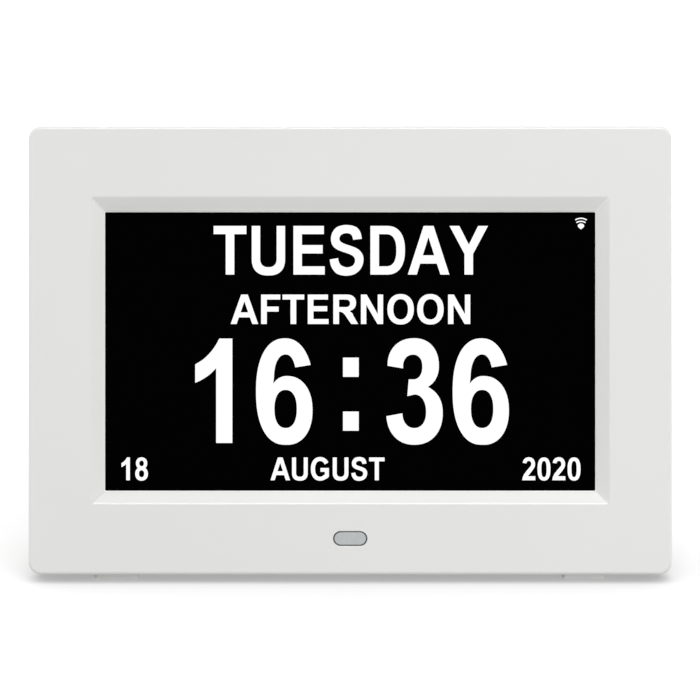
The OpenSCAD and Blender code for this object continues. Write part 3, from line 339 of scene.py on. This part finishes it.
# each letter is its advance and its outlines, on a grid where a capital is 100 high
LETTERS = {
    "A": (100.8, [
        [(0, 0), (21.5, 0), (29.8, 22.6), (70.2, 22.6), (79, 0), (100.5, 0), (62.3, 100),
         (38.2, 100)],
        [(36.1, 39.6), (63.9, 39.6), (50, 77)]]),
    "D": (100.8, [
        [(10.2, 0)] + arc(50, 50, 43.8, 50, -90, 90, 26, 2.35) + [(10.2, 100)],
        [(30.9, 16.9)] + arc(48, 50, 25, 33.1, -90, 90, 26, 2.45) + [(30.9, 83.1)]]),
    "E": (93.2, [
        [(10.2, 0), (85.9, 0), (85.9, 16.9), (30.7, 16.9), (30.7, 43.4), (80.9, 43.4), (80.9, 60.6),
         (30.7, 60.6), (30.7, 83.1), (83.8, 83.1), (83.8, 100), (10.2, 100)]]),
    "F": (85.3, [
        [(10.3, 0), (31, 0), (31, 42.2), (74.2, 42.2), (74.2, 59.2), (31, 59.2), (31, 83.1),
         (80.2, 83.1), (80.2, 100), (10.3, 100)]]),
    "G": (108.7, [
        arc(54, 50, 48, 51.8, 31, 300, 36)
        + [(90, 9), (98.9, 16), (98.9, 54), (55.5, 54), (55.5, 37.2), (78.2, 37.2), (78.2, 24.5)]
        + arc(54, 50, 26.6, 34.6, 312, 31, 26)]),
    "N": (100.8, [
        [(10.2, 0), (29.6, 0), (29.6, 65.5), (70.6, 0), (91, 0), (91, 100), (71.6, 100),
         (71.6, 33.5), (31, 100), (10.2, 100)]]),
    "O": (108.7, [ring(54.3, 50, 48.3, 51.8), ring(54.3, 50, 27, 34.6)]),
    "R": (100.8, [
        [(10.2, 0), (30.9, 0), (30.9, 41.6), (37, 41.6)] + arc(33, 14, 25, 27.6, 75, 38, 5, 2)
        + [(75.6, 0), (100.5, 0), (81.5, 31)] + arc(56, 22, 29, 24, 22, 60, 4, 2)
        + arc(59.5, 72, 33.5, 28, -68, 90, 18, 2.3) + [(10.2, 100)],
        [(30.9, 57.5)] + arc(56.5, 70.3, 14.9, 12.8, -90, 90) + [(30.9, 83.1)]]),
    "S": (93.2, [
        flow((82.5, 73.5), (79, 87), (68, 98), (45, 102), (23.5, 98), (11.5, 87), (7.8, 73.5),
             (11, 61), (21, 52.5), (35, 47.3), (50, 43), (62, 37.5), (66.3, 29), (61, 18.8),
             (46.5, 14.8), (32.5, 19), (27, 26), (25.2, 34))
        + flow((4.9, 31), (8.5, 16.5), (19, 4), (32, -1), (47, -2.3), (66, 1.5), (81, 13.5),
               (86.5, 29.5), (83.5, 42.5), (73, 52.5), (57, 58.5), (41, 63), (31, 68),
               (28.3, 74.5), (33, 82), (45.5, 85.2), (57, 82), (61.8, 71.5))]),
    "T": (85.3, [
        [(3.1, 100), (3.1, 83.1), (32.4, 83.1), (32.4, 0), (53.1, 0), (53.1, 83.1), (82.4, 83.1),
         (82.4, 100)]]),
    "U": (100.8, [
        [(10.1, 100)] + arc(50.4, 33, 40.3, 34.8, 180, 360, 30, 2.45) + [(90.7, 100), (70.4, 100)]
        + arc(50.4, 33, 20, 17.8, 360, 180, 24, 2.4) + [(30.4, 100)]]),
    "Y": (93.2, [
        [(36.3, 0), (57, 0), (57, 42.4), (93.2, 100), (69.4, 100), (46.9, 61.5), (23.8, 100),
         (0, 100), (36.3, 42.4)]]),
    "0": (77.7, [ring(38.7, 49.2, 33.4, 50.9, 2.45), ring(38.7, 49.2, 13.4, 35.4, 2.7)]),
    "1": (77.7, [
        [(35.7, 0), (55, 0), (55, 100.1)]
        + flow((39.5, 100.1), (35, 93.5), (28.5, 86.5), (20, 80), (10.7, 75.3))
        + flow((10.7, 57.6), (19, 60.8), (28, 65.7), (35.7, 71.7))]),
    "2": (77.7, [
        [(3.7, 0), (71.5, 0), (71.5, 17.8), (33, 17.8), (44, 29.5), (56, 42)]
        + arc(38, 71.5, 32, 29.5, -35, 172, 26) + arc(38, 71.5, 12.6, 13.6, 172, -40, 22)
        + [(30, 45), (14, 27.5), (6.3, 13)]]),
    "3": (77.7, [
        arc(37.2, 74, 31.9, 26.4, 180, 90) + arc(37.2, 74, 29.6, 26.4, 85, 0)
        + arc(37.2, 74, 29.6, 23.4, -6, -59) + arc(37.4, 29, 34, 27.2, 64, 0)
        + arc(37.4, 29, 34, 30.7, -5, -90, 16) + arc(37.4, 29, 33.6, 30.7, -95, -175, 16)
        + arc(37.4, 29.5, 14.4, 15.2, 183, 270) + arc(37.4, 29.5, 14.1, 15.2, 275, 360)
        + arc(37.4, 29.5, 14.1, 17, 5, 90) + [(29, 44.9), (30.7, 61)]
        + arc(36, 73.2, 11, 12.3, -90, 0) + arc(36, 73.2, 11, 11.5, 5, 90)
        + arc(36, 73.2, 12.2, 11.5, 95, 187)]),
    "6": (77.7, [
        arc(40.5, 49.1, 34, 51.2, 28, 90) + arc(40.5, 49.3, 34.9, 51, 95, 270, 34, 2.3)
        + arc(42.5, 31.2, 30.5, 33, -85, 90, 24) + arc(42.5, 31.2, 24, 33, 95, 133)
        + [(26, 55.8)] + arc(41, 62, 14, 22.9, 178, 90) + arc(41, 62, 12.5, 22.9, 85, 25),
        ring(40.9, 32.6, 13.4, 18.3, 2.3)]),
    "8": (77.7, [
        arc(38.6, 74.6, 29.6, 26, -52, 232, 30) + arc(38.6, 28.1, 33.3, 30.1, 121, 419, 32),
        ring(38.6, 74, 11.8, 12.2), ring(38.6, 28.6, 13.8, 15.3)]),
    ":": (47.0, [
        [(13.7, low), (33.4, low), (33.4, low + 18.4), (13.7, low + 18.4)]
        for low in (11.75, 63.4)]),
}
ink_t = 0.03 * MM
glass_front = face_box("lcd_glass")[0].y
glass_mid = ((view_low.x + view_high.x) / 2, glass_front - ink_t / 2,
             (view_low.z + view_high.z) / 2)


def thin_print(name, outlines, middle, material, body="housing"):
    """Flat outlines, in metres from a middle on the face's axes, as a thin printed layer."""
    shape = bpy.data.curves.new(name, "CURVE")
    shape.dimensions = "2D"
    shape.fill_mode = "BOTH"
    shape.extrude = ink_t / 2
    for outline in outlines:
        line = shape.splines.new("POLY")
        line.points.add(len(outline) - 1)
        for point, (x, z) in zip(line.points, outline):
            point.co = (x, z, 0, 1)
        line.use_cyclic_u = True
    piece = bpy.data.objects.new(name, shape)
    bpy.context.scene.collection.objects.link(piece)
    select_only(piece)
    bpy.ops.object.convert(target="MESH")
    piece = bpy.context.active_object
    piece.rotation_euler = (math.pi / 2, 0, 0)
    piece.location = middle
    apply_place(piece)
    lean_back(piece)
    fix(piece, material, body)


lit = surface("lit_white", (0.02, 0.02, 0.02), 0.3, patch=2 * MM, specular=0.06,
              more={"Emission Color": (1, 1, 1, 1), "Emission Strength": 1.0})


def write(name, words, left, base, tall, narrow):
    """A line of capitals: its left end and its base from the middle, its height, its narrowing."""
    up_scale = tall / 100
    across = up_scale * narrow
    pen = -min(x for x, z in LETTERS[words[0]][1][0]) * across
    outlines = []
    for letter in words:
        advance, loops = LETTERS[letter]
        outlines += [[(left + pen + x * across, base + z * up_scale) for x, z in loop]
                     for loop in loops]
        pen += advance * across
    thin_print(name, outlines, glass_mid, lit)


# each line is its words, left end, base, height and narrowing; the lengths are in millimetres
for line, words, left, base, tall, narrow in (
        ("weekday", "TUESDAY", -49.57, 27.92, 17.67, 0.8485),
        ("day_part", "AFTERNOON", -43.38, 9.98, 10.69, 0.93),
        ("hours", "16", -56.26, -33.2, 37.87, 0.803),
        ("colon", ":", -2.61, -33.2, 37.87, 0.764),
        ("minutes", "36", 13.14, -33.2, 37.87, 0.8),
        ("day", "18", -83.03, -46.74, 8.28, 0.835),
        ("month", "AUGUST", -28.93, -46.74, 8.28, 0.852),
        ("year", "2020", 62.43, -46.74, 8.28, 0.848)):
    write("readout_" + line, words, left * MM, base * MM, tall * MM, narrow)

signal_x, signal_z = 83.77 * MM, 44.68 * MM  # the mark's place from the middle of the display
bow_t = 0.44 * MM


def at_signal(points):
    return [(signal_x + x, signal_z + z) for x, z in points]


def bow(r, z, half_turn):
    """A bow of the signal mark, with its ends cut square."""
    start, end = 90 - half_turn, 90 + half_turn
    outer = arc(0, z, r + bow_t / 2, r + bow_t / 2, start, end, 16, 2)
    inner = arc(0, z, r - bow_t / 2, r - bow_t / 2, end, start, 16, 2)
    return at_signal(outer + inner)


bows = [bow(3.68 * MM, 0, 34), bow(3.2 * MM, -0.63 * MM, 31)]
drop = at_signal(arc(0, 0.92 * MM, 1.17 * MM, 0.89 * MM, -22, 202, 20, 2)
                 + arc(0, -0.2 * MM, 0.16 * MM, 0.16 * MM, 215, 325, 5, 2))
thin_print("readout_signal", bows + [drop], glass_mid, lit)

# ---------------------------------------------------------------- clips and display ribbon
# Four thin steel clips, each under a pan head screw, press the display onto its gasket. An amber
# ribbon leads from its lower edge to an ivory connector on the main board.
flex_amber = surface("flex_amber", (0.48, 0.15, 0.01), 0.25, patch=6 * MM, stretch=(8, 1, 1))
connector_ivory = surface("connector_ivory", (0.71, 0.66, 0.51), 0.45, patch=6 * MM)
bare_nodes(thin_steel, "lcd_clips")
bare_nodes(pin_steel, "clip_screws")
bare_nodes(flex_amber, "lcd_flex")
bare_nodes(connector_ivory, "flex_connector")

# ---------------------------------------------------------------- the main board
# A green board screwed to the rear cover's bosses. It carries the chips, capacitors, the coin
# cell in its holder, two lead headers and the three sockets in the side wall.
can_aluminium = surface("can_aluminium", (0.53, 0.54, 0.57), 0.28, patch=3 * MM, metal=1.0)
bare_nodes(board_green, "main_board")
bare_nodes(chip_black, "board_chips", "coin_cell_holder")
bare_nodes(can_aluminium, "board_capacitors")
bare_nodes(thin_steel, "coin_cell")
bare_nodes(connector_ivory, "lead_headers", "usb_tongue")
bare_nodes(pin_steel, "board_screws")
dress("dc_jack", "dc_jack_shell", chip_black)
dress("usb_port", "usb_port_shell", thin_steel)
dress("sd_socket", "sd_socket_shell", thin_steel)

# ---------------------------------------------------------------- the speaker
# A small round speaker behind the grille: a black steel basket, a paper cone with its dust cap,
# a magnet, and a pair of insulated wires to the main board.
basket_black = surface("basket_black", (0.025, 0.025, 0.027), 0.4, patch=8 * MM)
cone_paper = surface("cone_paper", (0.03, 0.03, 0.03), 0.8, patch=3 * MM, grain=0.3 * MM,
                     relief=0.03 * MM)
magnet_steel = surface("magnet_steel", (0.20, 0.20, 0.21), 0.4, patch=6 * MM, metal=1.0)
lead_red = surface("lead_red", (0.27, 0.006, 0.004), 0.45, patch=8 * MM)
bare_nodes(magnet_steel, "speaker_magnet")
bare_nodes(lead_red, "speaker_lead")
dress("speaker_basket", "speaker_frame", basket_black)
dress("speaker_cone", "speaker_paper", cone_paper)

# ---------------------------------------------------------------- the key board
# A long green board under the top edge with a row of seven push switches, each with its black
# actuator, and a flat grey cable down to the main board.
plunger_black = surface("plunger_black", (0.02, 0.02, 0.02), 0.5, patch=3 * MM)
bare_nodes(board_green, "key_board")
bare_nodes(chip_black, "key_switches")
bare_nodes(ribbon_grey, "key_ribbon")
bare_nodes(plunger_black, *(node for node in frame["nodes"] if node.startswith("plunger_")))

# ---------------------------------------------------------------- the rear cover
# A finely textured white moulding that closes the back: a flange inside the bezel's wall and a
# raised box with vents, the speaker's grille, keyholes, sockets and the recess for the stand.
satin_white = surface("back_satin_white", (0.69, 0.69, 0.67), 0.48, cloud=0.012, uneven=0.04,
                      patch=40 * MM, grain=0.35 * MM, relief=0.02 * MM)
dress("rear_cover", "rear_moulding", satin_white)

# ---------------------------------------------------------------- the keys
# Seven satin white caps come through the back, each kept in by its flange, with a grey mark
# printed on it: power, menu, four arrows and a disc to confirm.
key_satin = surface("key_white", (0.60, 0.60, 0.585), 0.4, cloud=0.01, patch=10 * MM,
                    grain=0.2 * MM, relief=0.008 * MM)
cap_low, cap_high = face_box("key_ok")
cap_w = cap_high.x - cap_low.x  # with its flange
cap_h = cap_high.z - cap_low.z
cap_flange_t = 1.3 * MM
cap_flange_w = 0.9 * MM
cap_rim_r = 0.5 * MM
cap_dish = 0.12 * MM  # how far its middle is hollowed
cap_dish_slope_w = 0.4 * MM
cap_dish_border_w = 0.3 * MM

bpy.ops.object.select_all(action="DESELECT")
bpy.ops.mesh.primitive_cylinder_add(vertices=48, radius=cap_h / 2, depth=cap_flange_t,
                                    rotation=(math.pi / 2, 0, 0),
                                    location=(0, cap_low.y + cap_flange_t / 2, 0))
cap = bpy.context.active_object
apply_place(cap)
# the halves are moved apart, to a long round-ended flange
for side in (-1, 1):
    pick(cap, "vertices", lambda v: v.co.x * side > hair)
    bpy.ops.transform.translate(value=(side * (cap_w - cap_h) / 2, 0, 0))
    close_mesh()
# the stem rises from the flange
pick(cap, "polygons", lambda face: face.normal.y > 0.9)
bpy.ops.mesh.inset(thickness=cap_flange_w)
bpy.ops.mesh.extrude_region_move(
    TRANSFORM_OT_translate={"value": (0, cap_high.y - cap_low.y - cap_flange_t, 0)})
close_mesh()
# its rim is rounded and its top hollowed
cap_top = cap_high.y - hair
pick(cap, "edges", lambda edge: all(cap.data.vertices[i].co.y > cap_top for i in edge.vertices))
bpy.ops.mesh.bevel(offset=cap_rim_r, segments=5)
close_mesh()
pick(cap, "polygons", lambda face: face.normal.y > 0.99 and face.center.y > cap_top)
bpy.ops.mesh.inset(thickness=cap_dish_slope_w)
bpy.ops.transform.translate(value=(0, -cap_dish, 0))
bpy.ops.mesh.inset(thickness=cap_dish_border_w)
close_mesh()

arrow_r = 1.25 * MM


def bar(low_x, high_x, low_z, high_z):
    """A rectangle, from its sides in millimetres."""
    corners = (low_x, low_z), (high_x, low_z), (high_x, high_z), (low_x, high_z)
    return [(x * MM, z * MM) for x, z in corners]


def arrow(turn):
    """A triangle that points a number of degrees round from the right."""
    tips = [math.radians(turn + third) for third in (0, 120, 240)]
    return [[(arrow_r * math.cos(tip), arrow_r * math.sin(tip)) for tip in tips]]


print_grey = surface("print_grey", (0.13, 0.13, 0.135), 0.5, patch=2 * MM)
power_outer = arc(0, 0, 1.35 * MM, 1.35 * MM, 125, 415, 30, 2)
power_inner = arc(0, 0, 1.0 * MM, 1.0 * MM, 415, 125, 30, 2)
marks = {"power": [power_outer + power_inner, bar(-0.18, 0.18, 0.25, 1.45)],
         "menu": [bar(-1.2, 1.2, z - 0.17, z + 0.17) for z in (-0.85, 0, 0.85)],
         "left": arrow(180), "up": arrow(90), "down": arrow(270), "right": arrow(0),
         "ok": [ring(0, 0, 0.95 * MM, 0.95 * MM, 2)]}
for key, mark in sorted(marks.items()):
    low, high = face_box("key_" + key)
    middle = (low + high) / 2
    key_cap = bpy.data.objects.new("key_cap_" + key, cap.data.copy())
    bpy.context.scene.collection.objects.link(key_cap)
    key_cap.location = (middle.x, 0, middle.z)
    apply_place(key_cap)
    lean_back(key_cap)
    smooth_over(key_cap)
    fix(key_cap, key_satin, key + "_key", "key_" + key)
    mark_mid = middle.x, high.y - cap_dish + ink_t / 2, middle.z
    thin_print("key_mark_" + key, mark, mark_mid, print_grey, key + "_key")
bpy.data.objects.remove(cap)

# ---------------------------------------------------------------- screws, feet and stand
# Six zinc plated screws hold the cover. The stand is a ribbed white moulding that swings on a
# steel pin and stands on a soft foot; two soft wedges sit under the bezel.
rubber_grey = surface("rubber_grey", (0.83, 0.83, 0.82), 0.6, patch=6 * MM, grain=0.25 * MM,
                      relief=0.02 * MM)
dress("cover_screws", "case_screws", pin_steel)
dress("foot_left", "wedge_foot_left", rubber_grey)
dress("foot_right", "wedge_foot_right", rubber_grey)
dress("hinge_pin", "stand_pin", pin_steel)

# the edges of the stand's outer face are rounded, below the eye that turns on the pin
stand_turn = math.radians(32)  # how far it is swung out
leg_out = Vector((0, math.cos(stand_turn), math.sin(stand_turn)))
leg_down = Vector((0, math.sin(stand_turn), -math.cos(stand_turn)))
leg_edge_r = 0.6 * MM
eye_end, leg_start = 3 * MM, 10 * MM  # both below the pin
pin_low, pin_high = face_box("hinge_pin")
pin_down = (pin_low + pin_high).dot(leg_down) / 2
stand = closed_copy("stand_leg", "stand_moulding")
places = [TO_FACE @ v.co for v in stand.data.vertices]
leg_outer = max(p.dot(leg_out) for p in places if p.dot(leg_down) > pin_down + leg_start)
round_edges(stand, leg_edge_r, lambda *ends: all(
    abs(p.dot(leg_out) - leg_outer) < hair for p in ends)
    and max(p.dot(leg_down) for p in ends) > pin_down + eye_end)
fix(stand, satin_white, "stand", "stand_leg")
dress("leg_pad", "stand_pad", rubber_grey, "stand")

# ---------------------------------------------------------------- the studio
# A plain pale floor in an even pale surround, lit by soft lamps above, in front, at both sides
# and behind. The camera looks straight at the face, as the photograph does.


def either(tree, first, second):
    """The greater of two values."""
    node = add_node(tree, "ShaderNodeMath", {0: first, 1: second})
    node.operation = "MAXIMUM"
    return node.outputs[0]


bpy.ops.mesh.primitive_plane_add(size=16, location=(0, 0, 0))
floor = bpy.context.active_object
floor.name = "floor"
paper = bpy.data.materials.new("paper_floor")
paper.use_nodes = True
tree = paper.node_tree
tree.nodes.clear()
# what lights the clock from below: a grey sheet with a weak glow
grey = add_node(tree, "ShaderNodeBsdfDiffuse", {"Color": (0.42, 0.42, 0.42, 1)})
bounce = add_node(tree, "ShaderNodeEmission", {"Strength": 0.09})
sheet = add_node(tree, "ShaderNodeAddShader", {0: grey.outputs[0], 1: bounce.outputs[0]})
# what the camera sees: a white sheet with a painted shadow round the clock: it glows more away from
# the clock and is dim next to it, and an occlusion test darkens it further where the clock comes
# near
pale = add_node(tree, "ShaderNodeBsdfDiffuse", {"Color": (0.62, 0.62, 0.62, 1)})
place = add_node(tree, "ShaderNodeTexCoord", {})
away = add_node(tree, "ShaderNodeVectorMath", {0: place.outputs["Object"]})
away.operation = "LENGTH"
glow = add_node(tree, "ShaderNodeEmission", {
    "Strength": spread(tree, away.outputs["Value"], 0.44, 0.8, span=(0.2, 0.7))})
lift = add_node(tree, "ShaderNodeAddShader", {0: pale.outputs[0], 1: glow.outputs[0]})
# painted shade: an occlusion test mixes black into the floor where the clock comes near
painted_shade_ao = add_node(tree, "ShaderNodeAmbientOcclusion", {"Distance": 0.05})
painted_shade_ao.samples = 16
dark = add_node(tree, "ShaderNodeBsdfDiffuse", {"Color": (0, 0, 0, 1)})
dim = add_node(tree, "ShaderNodeMixShader", {
    0: spread(tree, painted_shade_ao.outputs["AO"], 0.7, 1.0, span=(0.15, 0.95)),
    1: dark.outputs[0], 2: lift.outputs[0]})
path = add_node(tree, "ShaderNodeLightPath", {})
direct = either(tree, path.outputs["Is Camera Ray"], path.outputs["Is Glossy Ray"])
choice = add_node(tree, "ShaderNodeMixShader", {0: direct, 1: sheet.outputs[0], 2: dim.outputs[0]})
add_node(tree, "ShaderNodeOutputMaterial", {"Surface": choice.outputs[0]})
floor.data.materials.append(paper)

# the surround lights the clock a little less than it shows
world = bpy.data.worlds.new("pale_surround")
bpy.context.scene.world = world
world.use_nodes = True
tree = world.node_tree
tree.nodes.clear()
light = add_node(tree, "ShaderNodeBackground", {"Color": (1, 1, 1, 1), "Strength": 0.775})
white = add_node(tree, "ShaderNodeBackground", {"Color": (1, 1, 1, 1), "Strength": 1.0})
path = add_node(tree, "ShaderNodeLightPath", {})
direct = either(tree, path.outputs["Is Camera Ray"], path.outputs["Is Glossy Ray"])
clear = either(tree, direct, path.outputs["Is Transmission Ray"])
choice = add_node(tree, "ShaderNodeMixShader", {0: clear, 1: light.outputs[0], 2: white.outputs[0]})
add_node(tree, "ShaderNodeOutputWorld", {"Surface": choice.outputs[0]})


def soft_lamp(name, place, width, height, power):
    """A soft box aimed at the middle of the clock."""
    clock_mid = Vector((0, 0, 0.08))
    lamp = bpy.data.lights.new(name, "AREA")
    lamp.shape = "RECTANGLE"
    lamp.size = width
    lamp.size_y = height
    lamp.energy = power
    box = bpy.data.objects.new(name, lamp)
    bpy.context.scene.collection.objects.link(box)
    box.location = place
    box.rotation_euler = (Vector(place) - clock_mid).to_track_quat("Z", "Y").to_euler()
    return box


soft_lamp("top_lamp", (0.15, -0.25, 1.68), 0.7, 0.7, 2.6)
soft_lamp("front_lamp", (0.1, -0.85, 1.3), 0.6, 0.6, 3.2)
right_lamp = soft_lamp("right_lamp", (0.96, -1.15, 0.25), 0.5, 0.5, 5.2)
left_lamp = soft_lamp("left_lamp", (-1.49, -0.13, 0.2), 0.5, 0.5, 4.6)
soft_lamp("back_lamp", (-0.3, 1.5, 0.35), 0.6, 0.6, 5.0)
edge_strip = soft_lamp("edge_strip", (0, -0.77, 1.366), 1.2, 0.3, 9.0)
# seen in the gloss, the side lamps would whiten the whole face from some sides
right_lamp.visible_glossy = False
left_lamp.visible_glossy = False
# the strip only draws a gloss line on the rounded edges
edge_strip.visible_diffuse = False

photo_px = 700  # the photograph is square
body_px = 643.5  # width of the body in the photograph
body_mid_px = 350.2, 350.4  # its middle, from the upper left corner
camera_distance = 2.0
low, high = face_box("front_bezel")
px = (high.x - low.x) / body_px
aim_x = (photo_px / 2 - body_mid_px[0]) * px
aim_z = (high.z - low.z) / 2 + (body_mid_px[1] - photo_px / 2) * px
camera = bpy.data.objects.new("camera", bpy.data.cameras.new("camera"))
bpy.context.scene.collection.objects.link(camera)
camera.location = FACE @ Vector((aim_x, 0, aim_z)) + out_of_face * camera_distance
camera.rotation_euler = out_of_face.to_track_quat("Z", "Y").to_euler()
camera.data.lens = camera.data.sensor_width * camera_distance / (photo_px * px)
camera.data.clip_end = 40
bpy.context.scene.camera = camera
bpy.context.scene.view_settings.view_transform = "Standard"
